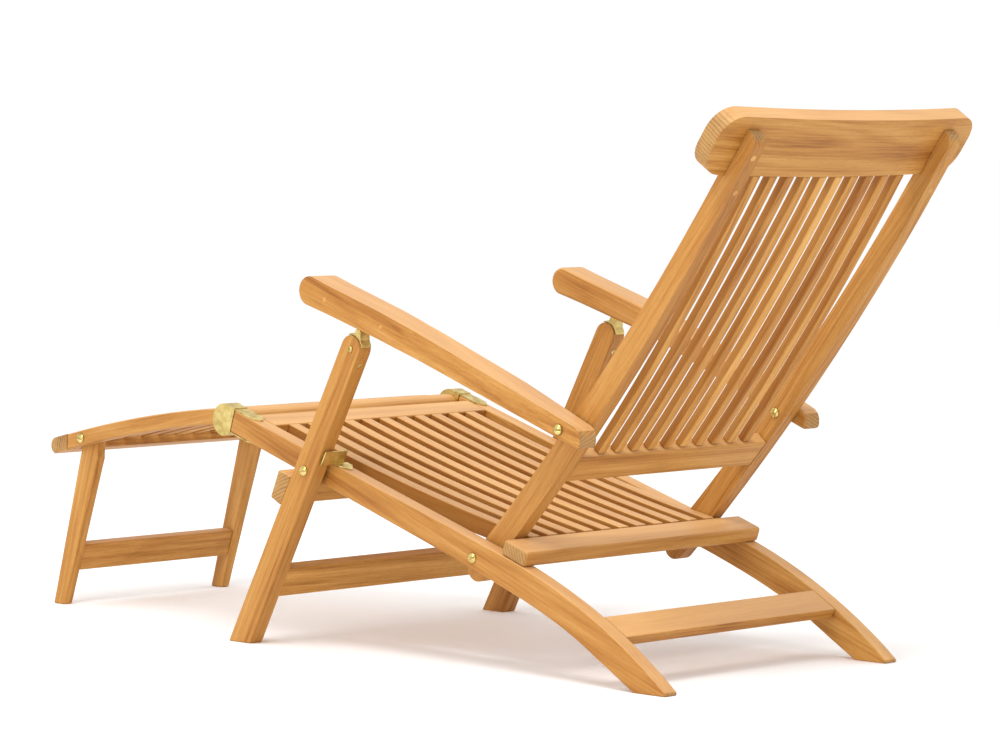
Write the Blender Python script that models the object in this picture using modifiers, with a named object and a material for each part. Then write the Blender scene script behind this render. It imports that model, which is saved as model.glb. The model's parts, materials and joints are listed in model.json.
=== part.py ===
"""A teak steamer deck chair: a slatted seat on two curved side rails, a reclined slatted back with a
rounded headboard, two arms, crossed front legs and a hinged footrest that stands on legs of its own.

Metres. The sitter faces -Y, +X is the sitter's left, +Z is up. The origin is at the bottom centre of the
whole chair's box. Side views are drawn in the working Y and Z of the seat, and the root empty moves them.
"""

from math import atan2, cos, degrees, pi, radians, sin, tan

import bmesh
import bpy
from mathutils import Matrix, Vector

# ---- overall sizes ----
SEAT_WIDTH = 0.524            # over the outer faces of the two side rails
SEAT_FRONT_Y = -0.139         # top front end of the side rails
SEAT_FRONT_Z = 0.3523
SEAT_SLOPE = 0.311            # drop of the side rails for each metre rearwards
REAR_FOOT_Y = 0.750           # rearmost point of the side rails' feet
STRAIGHT_END_Y = 0.418        # where the straight part of a side rail's top ends and its foot bends down
UNDERSIDE_END_Y = 0.278       # where the straight part of its underside ends
RAIL_THICKNESS = 0.027
RAIL_DEPTH_FRONT = 0.0361     # upright depth at the front end
RAIL_DEPTH_REAR = 0.0443      # upright depth at the rear bar
FOOT_LENGTH = 0.0603          # flat sole of each rear foot
FOOT_DROP_SLOPE = 0.821       # steepness of the side rail's top where it reaches the floor
FOOT_RISE_SLOPE = 0.589       # steepness of its underside where it leaves the floor

# ---- clearances ----
TOUCH = 0.0003                # between pieces that are glued, screwed or rest on each other
BORE_PLAY = 0.0004            # round a bolt in its bore
STILE_PLAY = 0.0035           # between a back stile and its side rail or arm
LEG_PLAY = 0.0065             # between a side rail and its front leg, filled by a collar
SLOT_PLAY = 0.0015            # between a moving timber and the slat beside it

# ---- cross members of the seat ----
FRONT_RAIL_SETBACK = 0.020    # from the side rails' front end to the front seat rail
FRONT_RAIL_WIDTH = 0.045
FRONT_RAIL_THICKNESS = 0.024
REAR_BAR_Y = 0.4304           # lower front edge of the bar that lies across the side rails
REAR_BAR_WIDTH = 0.0495
REAR_BAR_THICKNESS = 0.0235
REAR_STRETCHER_Y = 0.610      # top front edge of the board between the rear feet
REAR_STRETCHER_WIDTH = 0.0515
REAR_STRETCHER_THICKNESS = 0.016

# ---- seat slats ----
SEAT_SLATS = 11
SEAT_SLAT_WIDTH = 0.0210
SEAT_SLAT_DEPTH = 0.0290
SEAT_DISH = 0.0080            # how far the middle of a seat slat sags below its chord

# ---- back ----
STILE_THICKNESS = 0.0245
STILE_WIDTH_LOW = 0.0390
STILE_WIDTH_TOP = 0.0310
STILE_LENGTH = 0.7998         # along its curved axis, from the pivot to the top
STILE_TAIL = 0.027            # from the pivot down to the centre of the rounded lower end
BACK_ANGLE_LOW = 46.0         # degrees from level, at the pivot
BACK_ANGLE_TOP = 57.0         # degrees from level, at the headboard
PIVOT_Y = 0.3740              # bolt of the back in the side rails
PIVOT_DROP = 0.0056           # of that bolt below the side rail's middle line
ARM_PIVOT_ALONG = 0.2690      # along the stile's axis, from the back's pivot to the arm's pivot
LOWER_RAIL_ALONG = 0.1755     # along the stile's axis, to the lower edge of the back's lower rail
LOWER_RAIL_WIDTH = 0.0490
LOWER_RAIL_THICKNESS = 0.0220
LOWER_RAIL_RECESS = 0.0005    # of its rear face behind the stiles' rear edges
BACK_SLATS = 10
BACK_SLAT_WIDTH = 0.0165
BACK_SLAT_THICKNESS = 0.0130
BACK_SLAT_SETBACK = 0.0040    # of a slat's rear face from the lower rail's
BACK_SLAT_PLAY = 0.0008       # between a slat's end and the rail or headboard
BACK_SLAT_EDGE_GAP = 0.03725  # between the outermost slat and the stile
HEADBOARD_LENGTH = 0.564
HEADBOARD_HEIGHT = 0.0970
HEADBOARD_THICKNESS = 0.0260
HEADBOARD_DROP = 0.0770       # along the stile's axis, from its top to the headboard's lower edge
HEADBOARD_BOW = 0.0060        # how far its middle bows rearwards past its seats on the stiles
HEADBOARD_LET_IN = 0.0095     # depth of the housing in the stiles
HEADBOARD_TOP_RADIUS = 0.0370
HEADBOARD_LOW_RADIUS = 0.0360

# ---- arms ----
ARM_FRONT_WIDTH = 0.0520
ARM_OVERHANG = 0.0085         # of an arm's outer side past its front leg
ARM_REAR_WIDTH = 0.0350
ARM_DEPTH_FRONT = 0.0440
ARM_DEPTH_REAR = 0.0290
ARM_REACH = 0.5056            # level distance from the arm's pivot to its front end
ARM_TAIL = 0.0379             # level distance from the arm's pivot to its rear end
ARM_BELOW_PIVOT = 0.0130      # from the arm's bolt down to its underside
ARM_FRONT_SLOPE = 0.31
ARM_REAR_SLOPE = 0.423
ARM_PLATE_THICKNESS = 0.0020
ARM_PLATE_LENGTH = 0.1200
ARM_PLATE_WIDTH = 0.0180

# ---- front legs ----
LEG_THICKNESS = 0.0265
LEG_WIDTH_TOP = 0.0385
LEG_WIDTH_FOOT = 0.0425
LEG_ANGLE = 62.5              # degrees from level
LEG_PIVOT_Y = 0.0512          # bolt of the leg in the side rail
LEG_TOP_RISE = 0.1900         # from that bolt up to the pin at the leg's top
LEG_STRETCHER_LOW = 0.0725    # height of its lower edge
LEG_STRETCHER_WIDTH = 0.0510
LEG_STRETCHER_THICKNESS = 0.0180
STOP_BAR_HEIGHT = 0.0450
STOP_BAR_THICKNESS = 0.0240

# ---- footrest ----
FOOTREST_WIDTH = 0.419
FOOTREST_LENGTH = 0.481       # from the hinge axis to the front edge
FOOTREST_FRONT_Z = 0.2855     # top of its side rails where they meet the front rail
FOOTREST_BULGE = 0.0100       # how far its curved top stands above the straight line
FOOTREST_RAIL_THICKNESS = 0.0250
FOOTREST_RAIL_DEPTH = 0.0255
FOOTREST_FRONT_WIDTH = 0.0430
FOOTREST_SLATS = 9
FOOTREST_SLAT_WIDTH = 0.0215
FOOTREST_SLAT_DEPTH = 0.0140
FOOTREST_LEG_THICKNESS = 0.0180
FOOTREST_LEG_WIDTH_TOP = 0.0415
FOOTREST_LEG_WIDTH_FOOT = 0.0258
FOOTREST_LEG_SETBACK = 0.4025 # from the hinge axis to the leg's bolt, level
FOOTREST_LEG_LEAN = 0.0855    # how far the foot stands in front of that bolt
FOOTREST_STRETCHER_LOW = 0.0565
FOOTREST_STRETCHER_WIDTH = 0.0460
FOOTREST_STRETCHER_THICKNESS = 0.0160

# ---- brass ----
HINGE_BAR_RADIUS = 0.0175
HINGE_BAR_GAP = 0.0251        # from the side rails' front end to the hinge axis
HINGE_DROP = 0.0047           # of the hinge axis below the side rails' middle line
CAP_RADIUS = 0.0255
CAP_CHEEK = 0.0028
CAP_LIP = 0.0012              # of the cap round the straps
STRAP_THICKNESS = 0.0022
STRAP_LENGTH = 0.0500
STRAP_POINT = 0.0120
BOLT_RADIUS = 0.0040
BOLT_HEAD_RADIUS = 0.0082
BOLT_HEAD_HEIGHT = 0.0042
HOOK_WIDTH = 0.0200
HOOK_THICKNESS = 0.0025
BRACKET_THICKNESS = 0.0022
BRACKET_LENGTH = 0.0270
BRACKET_HEIGHT = 0.0240

TEAK = (0.58, 0.31, 0.12, 1.0)
BRASS = (0.78, 0.62, 0.28, 1.0)
ROUND_STEPS = 20

# ---- sides of the timbers, measured from the middle plane ----
RAIL_OUTER = SEAT_WIDTH / 2
RAIL_INNER = RAIL_OUTER - RAIL_THICKNESS
STILE_OUTER = RAIL_INNER - STILE_PLAY
STILE_INNER = STILE_OUTER - STILE_THICKNESS
LEG_INNER = RAIL_OUTER + LEG_PLAY
LEG_OUTER = LEG_INNER + LEG_THICKNESS
ARM_INNER_REAR = STILE_OUTER + STILE_PLAY
ARM_OUTER_REAR = ARM_INNER_REAR + ARM_REAR_WIDTH
ARM_OUTER = LEG_OUTER + ARM_OVERHANG
ARM_INNER = ARM_OUTER - ARM_FRONT_WIDTH
FOOTREST_OUTER = FOOTREST_WIDTH / 2
FOOTREST_INNER = FOOTREST_OUTER - FOOTREST_RAIL_THICKNESS
FOOTREST_LEG_OUTER = FOOTREST_INNER - BORE_PLAY
FOOTREST_LEG_INNER = FOOTREST_LEG_OUTER - FOOTREST_LEG_THICKNESS
HEADBOARD_ALONG = STILE_LENGTH - HEADBOARD_DROP
SIDES = (("left", 1), ("right", -1))


def clear_scene():
    for obj in list(bpy.data.objects):
        bpy.data.objects.remove(obj, do_unlink=True)
    for name in ("steamer_chair", "cutters"):
        collection = bpy.data.collections.new(name)
        bpy.context.scene.collection.children.link(collection)
    bpy.data.collections["cutters"].hide_render = True


# ---- the side view: points are (y, z) ----
def along(point, angle, distance):
    """The point at this distance from another, at an angle in degrees from +Y towards +Z."""
    return (point[0] + distance * cos(radians(angle)), point[1] + distance * sin(radians(angle)))


def arc(centre, radius, start, end, steps=8):
    return [along(centre, start + (end - start) * i / steps, radius) for i in range(steps + 1)]


def bezier(a, b, c, d, steps=8):
    """Points of a cubic curve, both ends included."""
    points = []
    for i in range(steps + 1):
        t = i / steps
        weights = ((1 - t) ** 3, 3 * t * (1 - t) ** 2, 3 * t * t * (1 - t), t ** 3)
        points.append(tuple(sum(w * p[k] for w, p in zip(weights, (a, b, c, d))) for k in (0, 1)))
    return points


def rail_top(y):
    """Height of the straight part of the side rails' top."""
    return SEAT_FRONT_Z - SEAT_SLOPE * (y - SEAT_FRONT_Y)


def rail_depth(y):
    share = (y - SEAT_FRONT_Y) / (REAR_BAR_Y - SEAT_FRONT_Y)
    return RAIL_DEPTH_FRONT + (RAIL_DEPTH_REAR - RAIL_DEPTH_FRONT) * share


def rail_bottom(y):
    return rail_top(y) - rail_depth(y)


RAIL_ANGLE = degrees(atan2(-SEAT_SLOPE, 1))
UNDERSIDE_ANGLE = degrees(atan2(rail_bottom(REAR_BAR_Y) - rail_bottom(SEAT_FRONT_Y), REAR_BAR_Y - SEAT_FRONT_Y))


def rail_front_low():
    """Lower front corner of a side rail, whose end is square to its top."""
    y = SEAT_FRONT_Y - RAIL_DEPTH_FRONT * cos(radians(RAIL_ANGLE)) * sin(radians(-RAIL_ANGLE))
    return (y, rail_bottom(y))


REAR_FOOT_TIP = 0.005         # small upright end of each rear foot


def rail_top_curve():
    """The bent rear part of the side rails' top, from the straight part down to the foot's tip."""
    start = (STRAIGHT_END_Y, rail_top(STRAIGHT_END_Y))
    end = (REAR_FOOT_Y, REAR_FOOT_TIP)
    leaving = 0.338 * (end[0] - start[0])
    arriving = 0.316 * (end[0] - start[0])
    leave = (start[0] + leaving, start[1] - SEAT_SLOPE * leaving)
    arrive = (end[0] - arriving, end[1] + FOOT_DROP_SLOPE * arriving)
    return bezier(start, leave, arrive, end, 14)


def rail_bottom_curve():
    """The bent rear part of the side rails' underside, from the sole's front up to the straight part."""
    start = (REAR_FOOT_Y - FOOT_LENGTH, 0.0)
    end = (UNDERSIDE_END_Y, rail_bottom(UNDERSIDE_END_Y))
    leaving = 0.311 * (start[0] - end[0])
    arriving = 0.70 * (start[0] - end[0])
    leave = (start[0] - leaving, FOOT_RISE_SLOPE * leaving)
    arrive = (end[0] + arriving, end[1] + tan(radians(UNDERSIDE_ANGLE)) * arriving)
    return bezier(start, leave, arrive, end, 16)


def bent_top(y):
    """Height of the side rails' top anywhere behind the straight part's end."""
    points = rail_top_curve()
    for (y0, z0), (y1, z1) in zip(points, points[1:]):
        if y0 <= y <= y1:
            return z0 + (z1 - z0) * (y - y0) / (y1 - y0)
    return rail_top(y)


BACK_PIVOT = (PIVOT_Y, (rail_top(PIVOT_Y) + rail_bottom(PIVOT_Y)) / 2 - PIVOT_DROP)
LEG_PIVOT = (LEG_PIVOT_Y, (rail_top(LEG_PIVOT_Y) + rail_bottom(LEG_PIVOT_Y)) / 2)
LEG_PIN = along(LEG_PIVOT, LEG_ANGLE, LEG_TOP_RISE / sin(radians(LEG_ANGLE)))
HINGE_LEVEL = (SEAT_FRONT_Y, rail_top(SEAT_FRONT_Y) - RAIL_DEPTH_FRONT / 2 - HINGE_DROP)
HINGE = along(HINGE_LEVEL, RAIL_ANGLE + 180, HINGE_BAR_GAP)


def stile_angle(s):
    return BACK_ANGLE_LOW + (BACK_ANGLE_TOP - BACK_ANGLE_LOW) * s / STILE_LENGTH


def stile_axis(s):
    """Point of the stile's curved axis at a distance s from the back's pivot."""
    bend = radians(BACK_ANGLE_TOP - BACK_ANGLE_LOW) / STILE_LENGTH
    low = radians(BACK_ANGLE_LOW)
    if s <= 0:
        return along(BACK_PIVOT, BACK_ANGLE_LOW, s)
    y = BACK_PIVOT[0] + (sin(low + bend * s) - sin(low)) / bend
    z = BACK_PIVOT[1] - (cos(low + bend * s) - cos(low)) / bend
    return (y, z)


def stile_width(s):
    return STILE_WIDTH_LOW + (STILE_WIDTH_TOP - STILE_WIDTH_LOW) * max(s, 0) / STILE_LENGTH


def beside_stile(s, rearward):
    """A point beside the stile's axis, this far towards the rear (or, negative, towards the sitter)."""
    return along(stile_axis(s), stile_angle(max(s, 0)) - 90, rearward)


ARM_PIVOT = stile_axis(ARM_PIVOT_ALONG)


# ---- solids ----
def link(obj, collection="steamer_chair"):
    bpy.data.collections[collection].objects.link(obj)
    return obj


def mesh_object(name, bm, collection="steamer_chair"):
    mesh = bpy.data.meshes.new(name)
    bm.to_mesh(mesh)
    bm.free()
    return link(bpy.data.objects.new(name, mesh), collection)


def flat_plate(name, outline, low, high, axes, collection="steamer_chair"):
    """A flat outline extruded from low to high along the third axis; axes turns (u, v, w) into X, Y, Z."""
    curve = bpy.data.curves.new(name, "CURVE")
    curve.dimensions = "2D"
    curve.fill_mode = "BOTH"
    curve.extrude = (high - low) / 2
    spline = curve.splines.new("POLY")
    spline.points.add(len(outline) - 1)
    for point, (u, v) in zip(spline.points, outline):
        point.co = (u, v, 0, 1)
    spline.use_cyclic_u = True
    drawn = link(bpy.data.objects.new(name + "_outline", curve), "cutters")
    bpy.context.view_layer.update()
    evaluated = drawn.evaluated_get(bpy.context.evaluated_depsgraph_get())
    mesh = bpy.data.meshes.new_from_object(evaluated)
    bpy.data.objects.remove(drawn, do_unlink=True)
    mesh.name = name
    mesh.materials.clear()
    bm = bmesh.new()
    bm.from_mesh(mesh)
    bmesh.ops.remove_doubles(bm, verts=bm.verts, dist=1e-6)
    bmesh.ops.translate(bm, verts=bm.verts, vec=(0, 0, (low + high) / 2))
    bmesh.ops.transform(bm, matrix=axes, verts=bm.verts)
    bmesh.ops.recalc_face_normals(bm, faces=bm.faces)
    bpy.data.meshes.remove(mesh)
    return mesh_object(name, bm, collection)


SIDE_VIEW = Matrix(((0, 0, 1, 0), (1, 0, 0, 0), (0, 1, 0, 0), (0, 0, 0, 1)))
PLAN_VIEW = Matrix.Identity(4)


def side_plate(name, outline, low, high, collection="steamer_chair"):
    """A side-view outline, extruded along X."""
    return flat_plate(name, outline, min(low, high), max(low, high), SIDE_VIEW, collection)


def tilted_view(point, angle):
    """Axes of a face that runs along X and along this angle of the side view, seen from above it."""
    turn = Matrix.Rotation(radians(angle), 4, "X")
    return Matrix.Translation((0, point[0], point[1])) @ turn


def turned(name, profile, x, point, side, collection="steamer_chair", steps=ROUND_STEPS):
    """A turned piece on an axis along X: profile is (radius, distance outwards), from the outer end in."""
    bm = bmesh.new()
    vertices = [bm.verts.new((radius, 0, distance)) for radius, distance in profile]
    for first, second in zip(vertices, vertices[1:]):
        bm.edges.new((first, second))
    obj = mesh_object(name, bm, collection)
    screw = obj.modifiers.new("Turn", "SCREW")
    screw.steps = steps
    screw.render_steps = steps
    screw.use_merge_vertices = True
    screw.merge_threshold = 1e-5
    screw.use_smooth_shade = True
    obj.rotation_euler = (0, side * pi / 2, 0)
    obj.location = (side * x, point[0], point[1])
    return obj


def rod(name, point, low, high, radius, collection="steamer_chair", steps=ROUND_STEPS):
    """A plain cylinder along X, from low to high."""
    bm = bmesh.new()
    bmesh.ops.create_cone(bm, cap_ends=True, segments=steps, radius1=radius, radius2=radius, depth=high - low)
    bmesh.ops.rotate(bm, verts=bm.verts, matrix=Matrix.Rotation(pi / 2, 3, "Y"))
    bmesh.ops.translate(bm, verts=bm.verts, vec=((low + high) / 2, point[0], point[1]))
    return mesh_object(name, bm, collection)


def boolean(obj, other, operation):
    modifier = obj.modifiers.new(operation.title(), "BOOLEAN")
    modifier.operation = operation
    modifier.object = other
    modifier.solver = "EXACT"
    other.display_type = "WIRE"
    other.hide_render = True


def bore(obj, point, radius=BOLT_RADIUS + BORE_PLAY):
    """A round hole right through a piece, along X."""
    cutter = rod(obj.name + "_bore", point, -SEAT_WIDTH, SEAT_WIDTH, radius, "cutters")
    boolean(obj, cutter, "DIFFERENCE")


def bolt(name, point, head_at, tail_at, side, collar=None, tail_head=False):
    """A domed bolt from head_at to tail_at, with an optional collar that fills a gap between timbers."""
    dome = [(BOLT_HEAD_RADIUS * sin(radians(a)), BOLT_HEAD_HEIGHT * cos(radians(a))) for a in range(0, 91, 18)]
    profile = [(radius, height + TOUCH) for radius, height in dome]
    profile.append((BOLT_RADIUS, TOUCH))
    if collar:
        outer = collar[0] - head_at - TOUCH
        inner = collar[1] - head_at + TOUCH
        collar_radius = BOLT_HEAD_RADIUS
        profile += [(BOLT_RADIUS, outer), (collar_radius, outer), (collar_radius, inner), (BOLT_RADIUS, inner)]
    end = tail_at - head_at
    if tail_head:
        end -= TOUCH
        profile += [(BOLT_RADIUS, end), (BOLT_HEAD_RADIUS, end)]
        profile += [(radius, end - height) for radius, height in reversed(dome[:-1])]
    else:
        profile += [(BOLT_RADIUS, end), (0, end)]
    return turned(name, profile, head_at, point, side)


# ---- seat frame ----
def side_rail(name, side):
    outline = [(SEAT_FRONT_Y, rail_top(SEAT_FRONT_Y))] + rail_top_curve()
    outline += [(REAR_FOOT_Y, 0.0)] + rail_bottom_curve()
    outline.append(rail_front_low())
    rail = side_plate(name, outline, side * RAIL_INNER, side * RAIL_OUTER)
    bore(rail, BACK_PIVOT)
    bore(rail, LEG_PIVOT)
    return rail


def front_rail_edges():
    front = SEAT_FRONT_Y + FRONT_RAIL_SETBACK
    return front, front + FRONT_RAIL_WIDTH * cos(radians(RAIL_ANGLE))


def seat_front_rail():
    front, rear = front_rail_edges()
    corners = [(front, rail_top(front)), (rear, rail_top(rear))]
    corners += [along(corner, RAIL_ANGLE - 90, FRONT_RAIL_THICKNESS) for corner in reversed(corners)]
    return side_plate("seat_front_rail", corners, -RAIL_INNER + TOUCH, RAIL_INNER - TOUCH)


def rear_bar_angle():
    run = REAR_BAR_WIDTH * cos(radians(RAIL_ANGLE))
    return degrees(atan2(bent_top(REAR_BAR_Y + run) - bent_top(REAR_BAR_Y), run))


def rear_bar_corners():
    """Top front, top rear, bottom rear and bottom front of the bar that lies on the side rails."""
    angle = rear_bar_angle()
    low_front = along((REAR_BAR_Y, bent_top(REAR_BAR_Y)), angle + 90, 2 * TOUCH)
    low_rear = along(low_front, angle, REAR_BAR_WIDTH)
    top_rear = along(low_rear, angle + 90, REAR_BAR_THICKNESS)
    top_front = along(low_front, angle + 90, REAR_BAR_THICKNESS)
    return top_front, top_rear, low_rear, low_front


def rear_bar():
    return side_plate("seat_rear_bar", rear_bar_corners(), -RAIL_OUTER, RAIL_OUTER)


def slat_places(count, outer_edge, width):
    """Middles of evenly spread slats whose outermost edges are at +-outer_edge."""
    pitch = (2 * outer_edge - width) / (count - 1)
    return [outer_edge - width / 2 - pitch * i for i in range(count)]


def seat_slat_top():
    """The dished top of a seat slat, from the front rail to the rear bar."""
    rear_edge = front_rail_edges()[1]
    start = (rear_edge + TOUCH, rail_top(rear_edge + TOUCH))
    end = along(rear_bar_corners()[0], rear_bar_angle() + 180, TOUCH)
    chord = (end[0] - start[0], end[1] - start[1])
    points = []
    steps = 8
    for i in range(steps + 1):
        t = i / steps
        sag = 4 * SEAT_DISH * t * (1 - t)
        points.append((start[0] + chord[0] * t, start[1] + chord[1] * t - sag))
    return points


def seat_slat(name, x):
    top = seat_slat_top()
    low = [(y, z - SEAT_SLAT_DEPTH) for y, z in reversed(top[1:-1])]
    rear_end = along(top[-1], rear_bar_angle() - 90, SEAT_SLAT_DEPTH)
    front_end = along(top[0], RAIL_ANGLE - 90, SEAT_SLAT_DEPTH)
    return side_plate(name, top + [rear_end] + low + [front_end], x - SEAT_SLAT_WIDTH / 2, x + SEAT_SLAT_WIDTH / 2)


def rear_stretcher():
    """A board between the rear feet, its face flush with the side rails' curved top."""
    run = 0.8 * REAR_STRETCHER_WIDTH
    front = (REAR_STRETCHER_Y, bent_top(REAR_STRETCHER_Y))
    angle = degrees(atan2(bent_top(REAR_STRETCHER_Y + run) - front[1], run))
    corners = [front, along(front, angle, REAR_STRETCHER_WIDTH)]
    corners += [along(corner, angle - 90, REAR_STRETCHER_THICKNESS) for corner in reversed(corners)]
    return side_plate("rear_stretcher", corners, -RAIL_INNER + TOUCH, RAIL_INNER - TOUCH)


def leg_front(height):
    """The front edge of the front legs at this height."""
    share = height / LEG_PIN[1]
    half = (LEG_WIDTH_FOOT + (LEG_WIDTH_TOP - LEG_WIDTH_FOOT) * share) / 2
    middle = LEG_PIVOT[0] + (height - LEG_PIVOT[1]) / tan(radians(LEG_ANGLE))
    return middle - half / sin(radians(LEG_ANGLE))


def leg_stop_bar():
    """The bar under the side rails that the front legs lean against."""
    play = TOUCH / sin(radians(LEG_ANGLE))
    meeting = LEG_PIVOT_Y
    for _ in range(12):
        meeting = leg_front(rail_bottom(meeting))
    top = rail_bottom(meeting) - 2 * TOUCH
    rear_top = (leg_front(top) - play, top)
    rear_low = (leg_front(top - STOP_BAR_HEIGHT) - play, top - STOP_BAR_HEIGHT)
    front_low = along(rear_low, LEG_ANGLE + 90, STOP_BAR_THICKNESS)
    front_y = rear_top[0] - STOP_BAR_THICKNESS / sin(radians(LEG_ANGLE))
    front_top = (front_y, rail_bottom(front_y) - 2 * TOUCH)
    return side_plate("leg_stop_bar", [rear_low, rear_top, front_top, front_low], -LEG_OUTER, LEG_OUTER)


def knee_cap(name, side):
    """A brass cup on the front end of a side rail, with a strap above and one below the rail."""
    front_top = (SEAT_FRONT_Y, rail_top(SEAT_FRONT_Y))
    end_face = [along(p, RAIL_ANGLE + 180, TOUCH) for p in (front_top, rail_front_low())]
    lip = STRAP_THICKNESS + TOUCH + CAP_LIP
    outline = [along(end_face[1], RAIL_ANGLE - 90, lip), along(end_face[0], RAIL_ANGLE + 90, lip)]
    outline += arc(HINGE, CAP_RADIUS, RAIL_ANGLE + 78, RAIL_ANGLE + 282, 14)
    cap = side_plate(name, outline, side * RAIL_INNER, side * RAIL_OUTER)
    inside = rod(name + "_cup", HINGE, -(RAIL_OUTER - CAP_CHEEK), RAIL_OUTER - CAP_CHEEK,
                 HINGE_BAR_RADIUS + BORE_PLAY, "cutters")
    boolean(cap, inside, "DIFFERENCE")
    middle = (RAIL_INNER + RAIL_OUTER) / 2
    half = RAIL_THICKNESS / 2 - CAP_LIP
    strap_outline = [(-half, -0.006), (half, -0.006), (half, STRAP_LENGTH - STRAP_POINT),
                     (half * 0.25, STRAP_LENGTH), (-half * 0.25, STRAP_LENGTH),
                     (-half, STRAP_LENGTH - STRAP_POINT)]
    for where, corner, low, angle in (("top", end_face[0], TOUCH, RAIL_ANGLE),
                                      ("low", end_face[1], -TOUCH - STRAP_THICKNESS, UNDERSIDE_ANGLE)):
        strap = flat_plate(name + "_strap_" + where, [(side * middle + u, v) for u, v in strap_outline],
                           low, low + STRAP_THICKNESS, tilted_view(corner, angle), "cutters")
        boolean(cap, strap, "UNION")
    return cap


def stop_bracket(name, side):
    """A brass angle on top of a side rail, its upright standing behind the upper half of the front leg."""
    lean = sin(radians(LEG_ANGLE))
    base = leg_front(LEG_PIVOT[1]) + (LEG_WIDTH_TOP + LEG_WIDTH_FOOT) / 2 / lean + 0.009
    foot = along((base, rail_top(base)), RAIL_ANGLE + 90, TOUCH)
    half = RAIL_THICKNESS / 2
    middle = side * (RAIL_INNER + RAIL_OUTER) / 2
    plan = [(-half, 0), (half, 0), (half, 0.45 * BRACKET_LENGTH), (0, BRACKET_LENGTH),
            (-half, 0.45 * BRACKET_LENGTH)]
    bracket = flat_plate(name, [(middle + u, v) for u, v in plan], 0, BRACKET_THICKNESS,
                         tilted_view(foot, RAIL_ANGLE))
    low = along(along(foot, RAIL_ANGLE + 90, 0.0007), RAIL_ANGLE, 0.0006)
    upright = [low, along(low, LEG_ANGLE, BRACKET_HEIGHT)]
    upright += [along(p, LEG_ANGLE - 90, BRACKET_THICKNESS) for p in reversed(upright)]
    plate = side_plate(name + "_upright", upright, side * (RAIL_OUTER - 0.016), side * (LEG_OUTER - 0.003),
                       "cutters")
    boolean(bracket, plate, "UNION")
    return bracket


# ---- front legs ----
def front_leg(name, side):
    foot_angle = LEG_ANGLE
    middle_foot = along(LEG_PIN, foot_angle + 180, LEG_PIN[1] / sin(radians(foot_angle)))
    half_foot = LEG_WIDTH_FOOT / 2 / sin(radians(foot_angle))
    half_top = LEG_WIDTH_TOP / 2
    outline = [(middle_foot[0] - half_foot, 0.0), (middle_foot[0] + half_foot, 0.0)]
    outline += arc(LEG_PIN, half_top, LEG_ANGLE - 90, LEG_ANGLE + 90, 12)
    leg = side_plate(name, outline, side * LEG_INNER, side * LEG_OUTER)
    bore(leg, LEG_PIVOT)
    return leg


def leg_rear(height):
    share = height / LEG_PIN[1]
    width = LEG_WIDTH_FOOT + (LEG_WIDTH_TOP - LEG_WIDTH_FOOT) * share
    return leg_front(height) + width / sin(radians(LEG_ANGLE))


def leg_stretcher():
    rear_low = (leg_rear(LEG_STRETCHER_LOW) - 0.003, LEG_STRETCHER_LOW)
    rear_top = along(rear_low, LEG_ANGLE, LEG_STRETCHER_WIDTH)
    corners = [rear_low, rear_top]
    corners += [along(corner, LEG_ANGLE + 90, LEG_STRETCHER_THICKNESS) for corner in reversed(corners)]
    return side_plate("leg_stretcher", corners, -LEG_INNER + TOUCH, LEG_INNER - TOUCH)


def arm_line(y, slope_front, slope_rear, start):
    """Height of a line that starts at a point with one slope and bends gently to another."""
    bend_from = ARM_PIVOT[0] - 0.36
    bend_to = ARM_PIVOT[0] - 0.23
    z = start[1]
    z -= slope_front * (min(y, bend_from) - start[0])
    if y > bend_from:
        inside = min(y, bend_to) - bend_from
        change = (slope_rear - slope_front) / (bend_to - bend_from)
        z -= slope_front * inside + change * inside * inside / 2
    if y > bend_to:
        z -= slope_rear * (y - bend_to)
    return z


def arm_underside(y):
    """The underside passes just under the arm's bolt, and is worked out forwards from there."""
    origin = (0.0, 0.0)
    below = arm_line(y, ARM_FRONT_SLOPE - 0.01, ARM_REAR_SLOPE - 0.03, origin)
    at_pivot = arm_line(ARM_PIVOT[0], ARM_FRONT_SLOPE - 0.01, ARM_REAR_SLOPE - 0.03, origin)
    return ARM_PIVOT[1] - ARM_BELOW_PIVOT + below - at_pivot


def arm_hook(name, side):
    """The brass band over the leg's round top, with a tongue that holds up the arm."""
    radius = LEG_WIDTH_TOP / 2 + TOUCH
    outer = radius + HOOK_THICKNESS
    tip_y = LEG_PIN[0] + 0.013
    tip_z = arm_underside(tip_y + 0.006) - ARM_PLATE_THICKNESS - 4 * TOUCH
    outline = arc(LEG_PIN, radius, 104, 2, 10)
    outline += arc(LEG_PIN, outer, 2, 32, 4)
    outline += [(tip_y + 0.006, tip_z - 0.004), (tip_y + 0.004, tip_z), (tip_y - 0.004, tip_z),
                (tip_y - 0.006, tip_z - 0.004)]
    outline += arc(LEG_PIN, outer, 76, 104, 3)
    middle = side * (LEG_INNER + LEG_OUTER) / 2
    return side_plate(name, outline, middle - HOOK_WIDTH / 2, middle + HOOK_WIDTH / 2)


# ---- arms ----
ARM_TAPER_FROM = ARM_PIVOT[0] - 0.30
ARM_TAPER_TO = ARM_PIVOT[0] + ARM_TAIL


def arm_outer(y):
    """Outer side of an arm in plan, which draws in towards its rear end."""
    share = (y - ARM_TAPER_FROM) / (ARM_TAPER_TO - ARM_TAPER_FROM)
    return ARM_OUTER + (ARM_OUTER_REAR - ARM_OUTER) * max(share, 0)


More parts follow.
